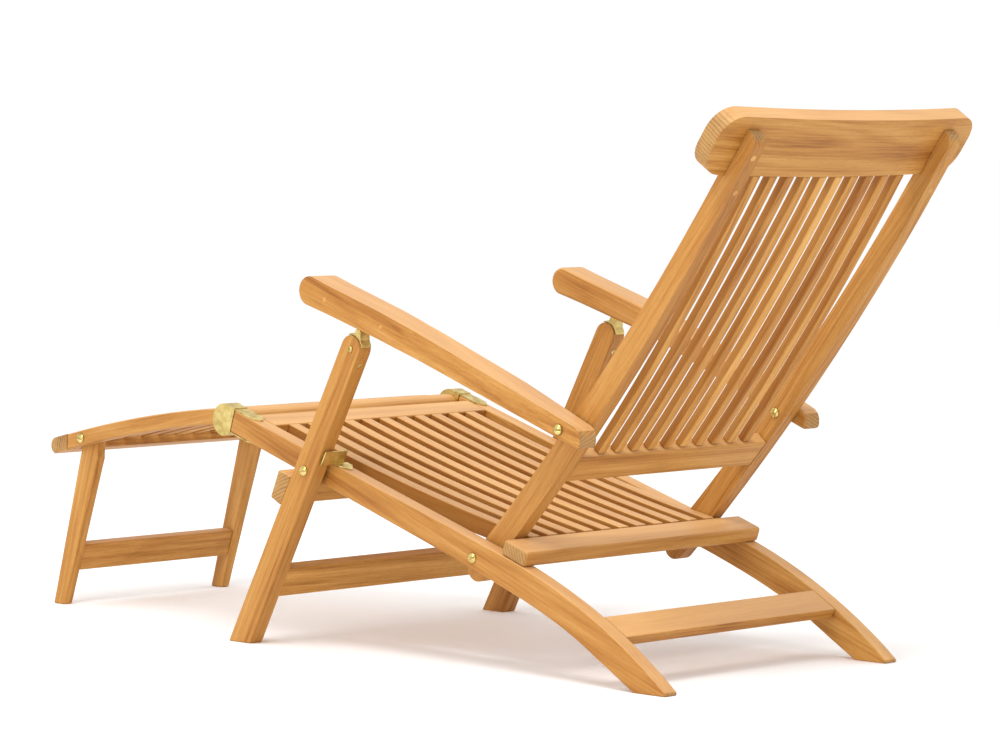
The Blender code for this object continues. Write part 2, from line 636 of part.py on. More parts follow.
def arm(name, side):
    front_y = ARM_PIVOT[0] - ARM_REACH
    rear_y = ARM_PIVOT[0] + ARM_TAIL
    radius = ARM_DEPTH_FRONT / 2

    def depth(y):
        share = (y - front_y) / (rear_y - front_y)
        return ARM_DEPTH_FRONT + (ARM_DEPTH_REAR - ARM_DEPTH_FRONT) * share ** 1.5

    steps = 14
    first = front_y + radius
    ys = [first + (rear_y - first) * i / steps for i in range(steps + 1)]
    slope_angle = degrees(atan2(-ARM_FRONT_SLOPE, 1))
    centre = (first, arm_underside(first) + depth(first) / 2)
    round_front = arc(centre, depth(first) / 2, slope_angle + 265, slope_angle + 95, 10)
    corner = 0.010
    top = [(y, arm_underside(y) + depth(y)) for y in ys[1:-1]]
    end_top = arm_underside(rear_y) + depth(rear_y)
    end_low = arm_underside(rear_y)
    rear = [(rear_y - corner, end_top + corner * ARM_REAR_SLOPE), (rear_y - 0.3 * corner, end_top - 0.002)]
    rear += [(rear_y, end_top - corner), (rear_y, end_low + corner)]
    rear += [(rear_y - 0.3 * corner, end_low + 0.002), (rear_y - corner, end_low + corner * ARM_REAR_SLOPE)]
    low = [(y, arm_underside(y)) for y in reversed(ys[1:-1])]
    piece = side_plate(name, round_front + top + rear + low, side * ARM_INNER_REAR, side * ARM_OUTER)
    reach = 0.03
    plan = [(ARM_INNER, front_y - reach), (ARM_OUTER + reach, front_y - reach),
            (ARM_OUTER + reach, ARM_TAPER_FROM), (ARM_OUTER, ARM_TAPER_FROM),
            (arm_outer(rear_y + reach), rear_y + reach), (ARM_INNER_REAR - reach, rear_y + reach),
            (ARM_INNER_REAR - reach, ARM_PIVOT[0] - 0.10), (ARM_INNER_REAR, ARM_PIVOT[0] - 0.10),
            (ARM_INNER, ARM_PIVOT[0] - 0.28)]
    low_z = ARM_PIVOT[1] - 0.2
    shape = flat_plate(name + "_plan", [(side * x, y) for x, y in plan], low_z, ARM_PIVOT[1] + 0.4, PLAN_VIEW,
                       "cutters")
    boolean(piece, shape, "INTERSECT")
    bore(piece, ARM_PIVOT)
    return piece


def arm_plate(name, side):
    """The brass plate under an arm, which the tongue of the leg's hook bears on."""
    front = (LEG_PIN[0] - 0.020, arm_underside(LEG_PIN[0] - 0.020) - TOUCH)
    rear_y = front[0] + ARM_PLATE_LENGTH
    steps = 4
    ys = [front[0] + (rear_y - front[0]) * i / steps for i in range(steps + 1)]
    outline = [(y, arm_underside(y) - TOUCH) for y in ys]
    outline += [(y, arm_underside(y) - TOUCH - ARM_PLATE_THICKNESS) for y in reversed(ys)]
    middle = side * (LEG_INNER + LEG_OUTER) / 2
    return side_plate(name, outline, middle - ARM_PLATE_WIDTH / 2, middle + ARM_PLATE_WIDTH / 2)


# ---- back ----
def headboard_corner():
    """Lower rear edge of the headboard, and the angle that it stands at."""
    s = HEADBOARD_ALONG
    return beside_stile(s, -stile_width(s) / 2 + HEADBOARD_LET_IN), stile_angle(s)


def bow(x):
    """How far the headboard stands rearwards of its seats on the stiles, at this distance from the middle."""
    return HEADBOARD_BOW * (1 - (x / ((STILE_INNER + STILE_OUTER) / 2)) ** 2)


def bowed_slab(name, play, low, high):
    """A cutter as thick as the headboard, bowed in plan, from low to high along the headboard's height."""
    corner, angle = headboard_corner()
    steps = 16
    xs = [HEADBOARD_LENGTH * 1.1 * (i / steps - 0.5) for i in range(steps + 1)]
    outline = [(x, -bow(x) - play) for x in xs]
    outline += [(x, HEADBOARD_THICKNESS + play - bow(x)) for x in reversed(xs)]
    axes = tilted_view(corner, angle) @ Matrix.Rotation(pi / 2, 4, "X")
    return flat_plate(name, outline, -high, -low, axes, "cutters")


def headboard():
    corner, angle = headboard_corner()
    half = HEADBOARD_LENGTH / 2
    top, low = HEADBOARD_TOP_RADIUS, HEADBOARD_LOW_RADIUS
    outline = arc((half - top, HEADBOARD_HEIGHT - top), top, 0, 90, 8)
    outline += arc((-half + top, HEADBOARD_HEIGHT - top), top, 90, 180, 8)
    outline += arc((-half + low, low), low, 180, 270, 6)
    outline += arc((half - low, low), low, 270, 360, 6)
    board = flat_plate("headboard", outline, -2 * HEADBOARD_BOW, HEADBOARD_THICKNESS + 2 * HEADBOARD_BOW,
                       tilted_view(corner, angle))
    boolean(board, bowed_slab("headboard_slab", 0, -0.01, HEADBOARD_HEIGHT + 0.01), "INTERSECT")
    return board


def stile(name, side):
    steps = 12
    reach = [STILE_LENGTH * i / steps for i in range(steps + 1)]
    front = [beside_stile(s, -stile_width(s) / 2) for s in reach]
    rear = [beside_stile(s, stile_width(s) / 2) for s in reversed(reach[:-1])]
    top_angle = stile_angle(STILE_LENGTH)
    round_radius = 0.6 * STILE_WIDTH_TOP
    round_centre = along(beside_stile(STILE_LENGTH, STILE_WIDTH_TOP / 2 - round_radius), top_angle, -round_radius)
    round_top = arc(round_centre, round_radius, top_angle, top_angle - 90, 6)
    end_centre = along(BACK_PIVOT, BACK_ANGLE_LOW, -STILE_TAIL)
    round_end = arc(end_centre, STILE_WIDTH_LOW / 2, BACK_ANGLE_LOW - 90, BACK_ANGLE_LOW - 270, 12)
    outline = front + round_top + rear[1:] + round_end
    piece = side_plate(name, outline, side * STILE_INNER, side * STILE_OUTER)
    boolean(piece, bowed_slab(name + "_housing", TOUCH, -TOUCH, HEADBOARD_HEIGHT * 1.5), "DIFFERENCE")
    bore(piece, BACK_PIVOT)
    bore(piece, ARM_PIVOT)
    return piece


def lower_rail_corners():
    """Lower rear, upper rear, upper front and lower front of the back's lower rail."""
    s = LOWER_RAIL_ALONG
    low_rear = beside_stile(s, stile_width(s) / 2 - LOWER_RAIL_RECESS)
    angle = stile_angle(s)
    top_rear = along(low_rear, angle, LOWER_RAIL_WIDTH)
    top_front = along(top_rear, angle + 90, LOWER_RAIL_THICKNESS)
    low_front = along(low_rear, angle + 90, LOWER_RAIL_THICKNESS)
    return low_rear, top_rear, top_front, low_front


def back_lower_rail():
    return side_plate("back_lower_rail", lower_rail_corners(), -STILE_INNER + TOUCH, STILE_INNER - TOUCH)


def back_slat(name, x):
    """A slat bent like the stiles, nearer the sitter at the headboard than at the lower rail."""
    start = LOWER_RAIL_ALONG + LOWER_RAIL_WIDTH + BACK_SLAT_PLAY
    end = HEADBOARD_ALONG - BACK_SLAT_PLAY
    low = stile_width(start) / 2 - LOWER_RAIL_RECESS - BACK_SLAT_SETBACK
    high = HEADBOARD_LET_IN - stile_width(end) / 2 - BACK_SLAT_PLAY + bow(x)
    steps = 8
    rear = []
    front = []
    for i in range(steps + 1):
        s = start + (end - start) * i / steps
        offset = low + (high - low) * i / steps
        rear.append(beside_stile(s, offset))
        front.append(beside_stile(s, offset - BACK_SLAT_THICKNESS))
    return side_plate(name, rear + front[::-1], x - BACK_SLAT_WIDTH / 2, x + BACK_SLAT_WIDTH / 2)


# ---- footrest ----
def footrest_top(y):
    """The bowed top of the footrest at this place, from its hinge bar to its front rail."""
    start_y = HINGE[0]
    start_z = HINGE[1] + HINGE_BAR_RADIUS
    end_y = HINGE[0] - FOOTREST_LENGTH + FOOTREST_FRONT_WIDTH
    t = (y - start_y) / (end_y - start_y)
    return start_z + (FOOTREST_FRONT_Z - start_z) * t + 4 * FOOTREST_BULGE * t * (1 - t)


def footrest_strip(y_from, y_to, depth, steps=8):
    ys = [y_from + (y_to - y_from) * i / steps for i in range(steps + 1)]
    outline = [(y, footrest_top(y)) for y in ys]
    outline += [(y, footrest_top(y) - depth) for y in reversed(ys)]
    return outline


FOOTREST_JOIN_Y = HINGE[0] - FOOTREST_LENGTH + FOOTREST_FRONT_WIDTH
BAR_EDGE_Y = HINGE[0] - HINGE_BAR_RADIUS
FOOTREST_BOLT = (HINGE[0] - FOOTREST_LEG_SETBACK,
                 footrest_top(HINGE[0] - FOOTREST_LEG_SETBACK) - FOOTREST_RAIL_DEPTH / 2)


def footrest_rail(name, side):
    outline = footrest_strip(FOOTREST_JOIN_Y + TOUCH, BAR_EDGE_Y - TOUCH, FOOTREST_RAIL_DEPTH, 10)
    rail = side_plate(name, outline, side * FOOTREST_INNER, side * FOOTREST_OUTER)
    bore(rail, FOOTREST_BOLT)
    return rail


def hinge_bar():
    """The round bar whose ends turn in the brass knee caps."""
    reach = RAIL_OUTER - CAP_CHEEK - BORE_PLAY
    return rod("footrest_hinge_bar", HINGE, -reach, reach, HINGE_BAR_RADIUS, steps=24)


def footrest_front_outline():
    join_top = (FOOTREST_JOIN_Y, footrest_top(FOOTREST_JOIN_Y))
    slope = degrees(atan2(footrest_top(FOOTREST_JOIN_Y + 0.01) - join_top[1], 0.01))
    nose = FOOTREST_RAIL_DEPTH * 0.55
    top_front = along(join_top, slope + 180, FOOTREST_FRONT_WIDTH - nose)
    outline = [(join_top[0], join_top[1] - FOOTREST_RAIL_DEPTH), join_top]
    outline += arc(along(top_front, slope - 90, nose), nose, slope + 90, slope + 200, 8)
    low_front = along(along(join_top, slope + 180, FOOTREST_FRONT_WIDTH * 0.86), slope - 90, FOOTREST_RAIL_DEPTH)
    outline.append(low_front)
    return outline


def footrest_panel():
    """The footrest's full-width front rail with its slats, which run back to the hinge bar."""
    panel = side_plate("footrest_panel", footrest_front_outline(), -FOOTREST_OUTER, FOOTREST_OUTER)
    slat_outline = footrest_strip(FOOTREST_JOIN_Y - 0.010, BAR_EDGE_Y - TOUCH, FOOTREST_SLAT_DEPTH)
    slat_outline = [(y, z - TOUCH) if y < FOOTREST_JOIN_Y else (y, z) for y, z in slat_outline]
    outer_edge = FOOTREST_LEG_INNER - SLOT_PLAY
    for i, x in enumerate(slat_places(FOOTREST_SLATS, outer_edge, FOOTREST_SLAT_WIDTH)):
        slat = side_plate(f"footrest_slat_{i + 1}", slat_outline, x - FOOTREST_SLAT_WIDTH / 2,
                          x + FOOTREST_SLAT_WIDTH / 2, "cutters")
        boolean(panel, slat, "UNION")
    return panel


FOOTREST_LEG_ANGLE = degrees(atan2(FOOTREST_BOLT[1], FOOTREST_LEG_LEAN))


def footrest_foot():
    """Front and rear edge of the sole of a footrest leg."""
    middle = FOOTREST_BOLT[0] - FOOTREST_LEG_LEAN
    half = FOOTREST_LEG_WIDTH_FOOT / 2 / sin(radians(FOOTREST_LEG_ANGLE))
    return middle - half, middle + half


def footrest_leg(name, side):
    outline = [(y, 0.0) for y in footrest_foot()]
    widest = along(FOOTREST_BOLT, FOOTREST_LEG_ANGLE, -0.72 * FOOTREST_LEG_WIDTH_TOP)
    outline.append(along(widest, FOOTREST_LEG_ANGLE - 90, FOOTREST_LEG_WIDTH_TOP / 2))
    top_radius = FOOTREST_RAIL_DEPTH / 2
    outline += arc(FOOTREST_BOLT, top_radius, FOOTREST_LEG_ANGLE - 70, FOOTREST_LEG_ANGLE + 70, 8)
    outline.append(along(widest, FOOTREST_LEG_ANGLE + 90, FOOTREST_LEG_WIDTH_TOP / 2))
    leg = side_plate(name, outline, side * FOOTREST_LEG_INNER, side * FOOTREST_LEG_OUTER)
    bore(leg, FOOTREST_BOLT)
    return leg


def footrest_stretcher():
    run = FOOTREST_STRETCHER_LOW / tan(radians(FOOTREST_LEG_ANGLE))
    rear_low = (FOOTREST_BOLT[0] - FOOTREST_LEG_LEAN + run + FOOTREST_LEG_WIDTH_FOOT / 2, FOOTREST_STRETCHER_LOW)
    corners = [rear_low, along(rear_low, FOOTREST_LEG_ANGLE, FOOTREST_STRETCHER_WIDTH)]
    corners += [along(corner, FOOTREST_LEG_ANGLE + 90, FOOTREST_STRETCHER_THICKNESS)
                for corner in reversed(corners)]
    inner = FOOTREST_LEG_INNER - TOUCH
    return side_plate("footrest_stretcher", corners, -inner, inner)


# ---- materials and assembly ----
def material(name, colour, roughness, metallic):
    made = bpy.data.materials.new(name)
    made.use_nodes = True
    shader = made.node_tree.nodes["Principled BSDF"]
    shader.inputs["Base Color"].default_value = colour
    shader.inputs["Roughness"].default_value = roughness
    shader.inputs["Metallic"].default_value = metallic
    return made


def pivot_empty(name, point, parent):
    empty = bpy.data.objects.new(name, None)
    bpy.data.collections["steamer_chair"].objects.link(empty)
    empty.location = (0, point[0], point[1])
    if parent:
        empty.parent = parent
        empty.location -= Vector(parent["place"])
    empty["place"] = (0, point[0], point[1])
    return empty


def carry(empty, pieces, colour, roughness, metallic):
    """Parents pieces to their body's pivot without moving them, and gives each its material."""
    for piece in pieces:
        piece.data.materials.append(material(piece.name, colour, roughness, metallic))
        cutters = [modifier.object for modifier in piece.modifiers if modifier.type == "BOOLEAN"]
        for obj in [piece] + cutters:
            obj.parent = empty
            obj.matrix_parent_inverse = Matrix.Translation(-Vector(empty["place"]))


def wood(empty, pieces):
    carry(empty, pieces, TEAK, 0.55, 0.0)


def brass(empty, pieces):
    carry(empty, pieces, BRASS, 0.3, 1.0)


def build():
    clear_scene()
    root = pivot_empty("seat_frame", (0, 0), None)
    back = pivot_empty("back", BACK_PIVOT, root)
    legs = pivot_empty("front_legs", LEG_PIVOT, root)
    footrest = pivot_empty("footrest", HINGE, root)
    footrest_legs = pivot_empty("footrest_legs", FOOTREST_BOLT, footrest)

    wood(root, [seat_front_rail(), rear_bar(), rear_stretcher(), leg_stop_bar()])
    for i, x in enumerate(slat_places(SEAT_SLATS, STILE_INNER - SLOT_PLAY, SEAT_SLAT_WIDTH)):
        wood(root, [seat_slat(f"seat_slat_{i + 1}", x)])
    wood(back, [headboard(), back_lower_rail()])
    for i, x in enumerate(slat_places(BACK_SLATS, STILE_INNER - BACK_SLAT_EDGE_GAP, BACK_SLAT_WIDTH)):
        wood(back, [back_slat(f"back_slat_{i + 1}", x)])
    wood(legs, [leg_stretcher()])
    wood(footrest, [hinge_bar(), footrest_panel()])
    wood(footrest_legs, [footrest_stretcher()])

    for word, side in SIDES:
        arm_body = pivot_empty(f"arm_body_{word}", ARM_PIVOT, back)
        wood(root, [side_rail(f"side_rail_{word}", side)])
        wood(back, [stile(f"stile_{word}", side)])
        wood(arm_body, [arm(f"arm_{word}", side)])
        wood(legs, [front_leg(f"front_leg_{word}", side)])
        wood(footrest, [footrest_rail(f"footrest_rail_{word}", side)])
        wood(footrest_legs, [footrest_leg(f"footrest_leg_{word}", side)])
        brass(root, [knee_cap(f"knee_cap_{word}", side), stop_bracket(f"stop_bracket_{word}", side)])
        brass(legs, [arm_hook(f"arm_hook_{word}", side)])
        brass(arm_body, [arm_plate(f"arm_plate_{word}", side)])
        brass(root, [bolt(f"back_bolt_{word}", BACK_PIVOT, RAIL_OUTER, STILE_INNER, side,
                          (RAIL_INNER, STILE_OUTER), True)])
        brass(legs, [bolt(f"leg_bolt_{word}", LEG_PIVOT, LEG_OUTER, RAIL_INNER, side,
                          (LEG_INNER, RAIL_OUTER))])
        brass(back, [bolt(f"arm_bolt_{word}", ARM_PIVOT, arm_outer(ARM_PIVOT[0]) + 0.001, STILE_INNER, side,
                          (ARM_INNER_REAR, STILE_OUTER), True)])
        brass(footrest_legs, [bolt(f"footrest_bolt_{word}", FOOTREST_BOLT, FOOTREST_OUTER,
                                   FOOTREST_LEG_INNER, side)])

    head_corner, head_angle = headboard_corner()
    rearmost = along(along(head_corner, head_angle, HEADBOARD_HEIGHT), head_angle - 90, HEADBOARD_BOW)[0]
    foremost = min([y for y, z in footrest_front_outline()] + [footrest_foot()[0]])
    root.location.y = -(rearmost + foremost) / 2
    bpy.context.view_layer.update()


build()
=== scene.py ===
"""Looks of a teak steamer deck chair: eased, grained timbers, dulled brass, slotted screws, wooden plugs."""
from math import atan2, cos, pi, radians, sin
import json
import random

import bmesh
import bpy
from mathutils import Matrix, Vector
from mathutils.bvhtree import BVHTree


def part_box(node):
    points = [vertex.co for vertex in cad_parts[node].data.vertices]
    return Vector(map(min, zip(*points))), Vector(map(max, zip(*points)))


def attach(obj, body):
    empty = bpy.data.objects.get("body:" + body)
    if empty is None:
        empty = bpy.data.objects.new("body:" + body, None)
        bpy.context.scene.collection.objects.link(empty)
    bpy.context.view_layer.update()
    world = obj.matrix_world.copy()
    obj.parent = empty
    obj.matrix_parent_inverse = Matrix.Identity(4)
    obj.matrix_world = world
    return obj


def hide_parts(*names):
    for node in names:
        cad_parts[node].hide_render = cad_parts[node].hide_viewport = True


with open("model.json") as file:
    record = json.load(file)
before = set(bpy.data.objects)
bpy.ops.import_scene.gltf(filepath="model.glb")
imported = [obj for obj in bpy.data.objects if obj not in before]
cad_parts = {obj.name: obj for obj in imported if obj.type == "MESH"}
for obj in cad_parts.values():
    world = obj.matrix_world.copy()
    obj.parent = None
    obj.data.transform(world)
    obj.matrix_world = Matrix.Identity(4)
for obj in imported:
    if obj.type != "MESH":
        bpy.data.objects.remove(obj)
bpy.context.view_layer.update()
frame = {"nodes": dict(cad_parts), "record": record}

RECORD = frame["record"]
BODY_OF = {node: body for body, nodes in RECORD["behaviour"]["bodies"].items() for node in nodes}
SLOT_OF = {part["node"]: part["material_slot"] for part in RECORD["subparts"]}
SHARP = radians(28)           # edges sharper than this are eased
SHORTEST_EDGE = 0.0018        # the rims of the bolt holes are finer than this and stay as drilled
FLAT = radians(0.8)           # neighbouring faces that differ by less than this are made one
WELD = 0.000002               # vertices of a CAD mesh this near each other are one
random.seed(7)


# ---- shader helpers ----
class Shader:
    """A new node material, with short ways to add and join its nodes."""

    def __init__(self, name):
        self.material = bpy.data.materials.new(name)
        self.material.use_nodes = True
        self.tree = self.material.node_tree
        self.surface = self.tree.nodes["Principled BSDF"]

    def add(self, kind, settings=None, **inputs):
        node = self.tree.nodes.new(kind)
        for key, value in (settings or {}).items():
            setattr(node, key, value)
        for key, value in inputs.items():
            self.put(node.inputs[key.replace("_", " ")], value)
        return node

    def put(self, socket, value):
        if isinstance(value, bpy.types.NodeSocket):
            self.tree.links.new(value, socket)
        else:
            socket.default_value = value

    def math(self, operation, first, second=0.0, clamp=False):
        node = self.add("ShaderNodeMath", {"operation": operation, "use_clamp": clamp})
        self.put(node.inputs[0], first)
        self.put(node.inputs[1], second)
        return node.outputs[0]

    def attribute(self, name, output="Fac"):
        return self.add("ShaderNodeAttribute", {"attribute_name": name}).outputs[output]

    def stretched(self, vector, scale):
        return self.add("ShaderNodeMapping", Vector=vector, Scale=scale).outputs["Vector"]

    def noise(self, vector, scale, detail=2.0, roughness=0.5):
        node = self.add("ShaderNodeTexNoise", Vector=vector, Scale=scale, Detail=detail, Roughness=roughness)
        return node.outputs["Fac"]

    def ramp(self, factor, stops):
        node = self.add("ShaderNodeValToRGB", Fac=factor)
        elements = node.color_ramp.elements
        elements[0].position, elements[1].position = stops[0][0], stops[-1][0]
        elements[0].color, elements[1].color = (*stops[0][1], 1), (*stops[-1][1], 1)
        for position, colour in stops[1:-1]:
            elements.new(position).color = (*colour, 1)
        return node.outputs["Color"]

    def blend(self, factor, first, second, kind="MIX"):
        node = self.add("ShaderNodeMix", {"data_type": "RGBA", "blend_type": kind})
        colours = [s for s in node.inputs if s.type == "RGBA"]
        self.put(node.inputs["Factor"], factor)
        for socket, value in zip(colours, (first, second)):
            self.put(socket, value if isinstance(value, bpy.types.NodeSocket) else (*value, 1))
        return next(s for s in node.outputs if s.type == "RGBA")

    def bump(self, height, strength, distance):
        node = self.add("ShaderNodeBump", Height=height, Strength=strength, Distance=distance)
        self.tree.links.new(node.outputs["Normal"], self.surface.inputs["Normal"])


def teak(name, shift):
    """Oiled teak: fine growth rings round a far pith, long fibres, short pores and broad darker streaks."""
    s = Shader(name)
    grain = s.attribute("grain", "Vector")
    rings = s.add("ShaderNodeTexWave",
                  {"wave_type": "RINGS", "rings_direction": "X", "wave_profile": "SAW"},
                  Vector=s.stretched(grain, (0.10, 1.0, 1.0)), Scale=62.0, Distortion=3.0, Detail=2.0,
                  Detail_Scale=0.8, Detail_Roughness=0.6).outputs["Fac"]
    streaks = s.noise(s.stretched(grain, (1.3, 34.0, 34.0)), 1.0, 3.0, 0.55)
    fibres = s.noise(s.stretched(grain, (7.0, 280.0, 280.0)), 1.0, 4.0, 0.65)
    pores = s.noise(s.stretched(grain, (60.0, 1400.0, 1400.0)), 1.0, 1.0, 0.5)
    swirl = s.noise(s.stretched(grain, (1.1, 13.0, 13.0)), 1.0, 1.5, 0.5)
    contour = s.math("PINGPONG", s.math("MULTIPLY", swirl, 9.0), 0.5)
    ring_share = s.math("ADD", s.math("MULTIPLY", rings, 0.06), s.math("MULTIPLY", contour, 0.26))
    streak_share = s.math("MULTIPLY", streaks, 0.70)
    fibre_share = s.math("MULTIPLY", fibres, 0.54)
    figure = s.math("ADD", s.math("ADD", ring_share, streak_share), fibre_share)
    wood = s.ramp(figure, [
        (0.47, (0.230 * shift, 0.074 * shift, 0.010)), (0.59, (0.430 * shift, 0.180 * shift, 0.030)),
        (0.73, (0.580 * shift, 0.280 * shift, 0.060)), (0.92, (0.720, 0.395, 0.112))])
    pore_mask = s.math("MULTIPLY", s.math("GREATER_THAN", pores, 0.62), 0.24)
    wood = s.blend(pore_mask, wood, (0.20, 0.075, 0.020))
    wood = s.blend(s.attribute("tone"), wood, (0.29, 0.098, 0.016))
    # painted shade: the flanks of the slats are darkened as if in the shade of the gaps between them
    wood = s.blend(s.math("MULTIPLY", s.attribute("painted_flank_shade"), 0.55), wood, (0.27, 0.088, 0.013))
    # painted top light: faces that look up are blended towards a pale colour, as if lit from above
    top_lit = s.blend(s.math("MULTIPLY", s.attribute("painted_top_light"), 0.42), wood, (0.86, 0.530, 0.260))
    end_rings = s.ramp(s.math("ADD", s.math("MULTIPLY", rings, 0.5), s.math("MULTIPLY", streaks, 0.5)), [
        (0.25, (0.20, 0.100, 0.032)), (0.45, (0.36, 0.200, 0.070)), (0.8, (0.47, 0.28, 0.105))])
    colour = s.blend(s.math("MULTIPLY", s.attribute("endwise"), 0.75), top_lit, end_rings)
    s.put(s.surface.inputs["Base Color"], colour)
    s.put(s.surface.inputs["Roughness"], s.math("ADD", s.math("MULTIPLY", fibres, 0.20), 0.40))
    s.surface.inputs["Specular IOR Level"].default_value = 0.26
    s.bump(s.math("ADD", s.math("MULTIPLY", fibres, 0.8), s.math("MULTIPLY", rings, 0.2)), 0.30, 0.0005)
    return s.material


def brass(name, dullness, hammered):
    """Brass with a soft dulled film, small dents and finer wear."""
    s = Shader(name)
    place = s.add("ShaderNodeTexCoord").outputs["Object"]
    dents = s.noise(place, 150.0, 2.0, 0.5)
    film = s.noise(place, 55.0, 4.0, 0.65)
    scratches = s.noise(s.stretched(place, (900.0, 160.0, 900.0)), 1.0, 2.0, 0.6)
    colour = s.ramp(film, [(0.30, (0.40, 0.29, 0.09)), (0.50, (0.66, 0.50, 0.17)),
                           (0.72, (0.82, 0.68, 0.30))])
    s.put(s.surface.inputs["Base Color"], colour)
    s.surface.inputs["Metallic"].default_value = 1.0
    worn = s.math("MULTIPLY", s.math("ADD", film, s.math("MULTIPLY", scratches, 0.6)), 0.22)
    s.put(s.surface.inputs["Roughness"], s.math("ADD", worn, dullness))
    relief = s.math("ADD", s.math("MULTIPLY", dents, hammered), s.math("MULTIPLY", scratches, 0.06))
    s.bump(relief, 0.5, 0.0012)
    return s.material


TEAK_FRAME = teak("oiled_teak_frame", 1.0)
TEAK_SLATS = teak("oiled_teak_slats", 1.05)
CAST_BRASS = brass("hammered_brass", 0.26, 0.55)
BOLT_BRASS = brass("polished_brass", 0.12, 0.12)


# ---- wood pieces ----
def long_axis(bm):
    """The direction that a board's grain runs in: along X, or the main direction of its side view."""
    xs = [v.co.x for v in bm.verts]
    ys = [v.co.y for v in bm.verts]
    zs = [v.co.z for v in bm.verts]
    spans = [max(values) - min(values) for values in (xs, ys, zs)]
    if spans[0] > 1.3 * max(spans[1:]):
        return Vector((1, 0, 0))
    mean_y, mean_z = sum(ys) / len(ys), sum(zs) / len(zs)
    yy = sum((y - mean_y) ** 2 for y in ys)
    zz = sum((z - mean_z) ** 2 for z in zs)
    yz = sum((y - mean_y) * (z - mean_z) for y, z in zip(ys, zs))
    angle = 0.5 * atan2(2 * yz, yy - zz)
    return Vector((0, cos(angle), sin(angle)))


def grain_of(bm, shade_flanks=False):
    """Writes each piece's own grain: where it lay in its tree, how dark it is, and which faces are its ends,
    its tops, made paler as painted top light, and, on a slat, its flanks, made darker as painted shade."""
    along = long_axis(bm)
    across = Vector((1, 0, 0)) if abs(along.x) < 0.5 else Vector((0, 1, 0))
    frame_axes = Matrix((along, across, along.cross(across)))
    tilt = Matrix.Rotation(radians(random.uniform(-1.6, 1.6)), 3, "Z")
    tilt @= Matrix.Rotation(radians(random.uniform(-1.6, 1.6)), 3, "Y")
    pith = Vector((random.uniform(-9, 9), random.uniform(0.03, 0.14) * random.choice((-1, 1)),
                   random.uniform(0.02, 0.12) * random.choice((-1, 1))))
    tone = random.uniform(0.0, 0.42)
    grain = bm.verts.layers.float_vector.new("grain")
    shade = bm.verts.layers.float.new("tone")
    for vert in bm.verts:
        vert[grain] = tilt @ (frame_axes @ vert.co) + pith
        vert[shade] = tone
    endwise = bm.faces.layers.float.new("endwise")
    painted_top_light = bm.faces.layers.float.new("painted_top_light")
    painted_flank_shade = bm.faces.layers.float.new("painted_flank_shade")
    for face in bm.faces:
        # painted shade: a slat's side faces take the darkened colour of the shaded gaps between slats
        face[painted_flank_shade] = float(shade_flanks and abs(face.normal.x) > 0.75)
        face[endwise] = min(max((abs(face.normal.dot(along)) - 0.55) * 3.5, 0.0), 1.0)
        # painted top light: the more a face looks up, the paler it is painted
        face[painted_top_light] = min(max((face.normal.z - 0.35) * 2.2, 0.0), 1.0)
        face.smooth = True


def finished(name, bm, material, body, slot, *replaced):
    """Makes a mesh into a visible piece, with its look, its body and the nodes it stands for; the slot
    argument is not used.
    """
    mesh = bpy.data.meshes.new(name)
    bm.to_mesh(mesh)
    bm.free()
    mesh.materials.append(material)
    piece = bpy.data.objects.new(name, mesh)
    bpy.context.scene.collection.objects.link(piece)
    normals = piece.modifiers.new("Even shading", "WEIGHTED_NORMAL")
    normals.weight = 80
    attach(piece, body)
    if replaced:
        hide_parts(*replaced)
    return piece


def clean_copy(node):
    """A welded copy of a CAD node's mesh, its flat faces made whole."""
    bm = bmesh.new()
    bm.from_mesh(frame["nodes"][node].data)
    for layer in list(bm.loops.layers.uv):
        bm.loops.layers.uv.remove(layer)
    bmesh.ops.remove_doubles(bm, verts=bm.verts, dist=WELD)
    bmesh.ops.dissolve_limit(bm, angle_limit=FLAT, verts=bm.verts, edges=bm.edges)
    return bm


def ease(bm, radius, segments=3):
    """Rounds over every arris, as sandpaper does."""
    edges = [edge for edge in bm.edges if edge.is_manifold and edge.calc_length() > SHORTEST_EDGE
             and abs(edge.calc_face_angle_signed(0.0)) > SHARP]
    bmesh.ops.bevel(bm, geom=edges, offset=radius, offset_type="OFFSET", segments=segments, profile=0.5,
                    affect="EDGES", material=-1, clamp_overlap=True)


def timber(node, radius, material):
    """A wooden node with its arrises eased and a grain of its own."""
    bm = clean_copy(node)
    ease(bm, radius)
    grain_of(bm, "slat" in node)
    return finished("eased_" + node, bm, material, BODY_OF[node], SLOT_OF[node], node)


EASING = {"side_rail": 0.0028, "stile": 0.0035, "arm": 0.0055, "front_leg": 0.0030, "headboard": 0.0055,
          "seat_front_rail": 0.0025, "seat_rear_bar": 0.0050, "rear_stretcher": 0.0025,
          "leg_stop_bar": 0.0030, "leg_stretcher": 0.0030, "back_lower_rail": 0.0025, "footrest_rail": 0.0035,
          "footrest_leg": 0.0028, "footrest_stretcher": 0.0025, "footrest_hinge_bar": 0.0015,
          "seat_slat": 0.0022, "back_slat": 0.0020}


def node_family(node):
    """The name of a piece without its side or number."""
    stem = node.rstrip("0123456789").rstrip("_")
    for word in ("_left", "_right"):
        stem = stem.removesuffix(word)
    return stem


for node in sorted(BODY_OF):
    if SLOT_OF[node].startswith("teak") and node != "footrest_panel":
        timber(node, EASING[node_family(node)], TEAK_SLATS if "slat" in node else TEAK_FRAME)


def islands(bm):
    """The lowest and highest X of each separate board in a mesh, in order."""
    spans = []
    waiting = set(bm.verts)
    while waiting:
        reached = [waiting.pop()]
        xs = []
        while reached:
            vert = reached.pop()
            xs.append(vert.co.x)
            for edge in vert.link_edges:
                other = edge.other_vert(vert)
                if other in waiting:
                    waiting.remove(other)
                    reached.append(other)
        spans.append((min(xs), max(xs)))
    return sorted(spans)


FOOTREST_JOINT_GAP = 0.0003    # from the footrest's side rails to the joint between its front rail and slats
FRONT_RAIL_EASING = 0.0030
FOOTREST_SLAT_EASING = 0.0020
SLAT_MARGIN = 0.001            # less than the gap between two slats


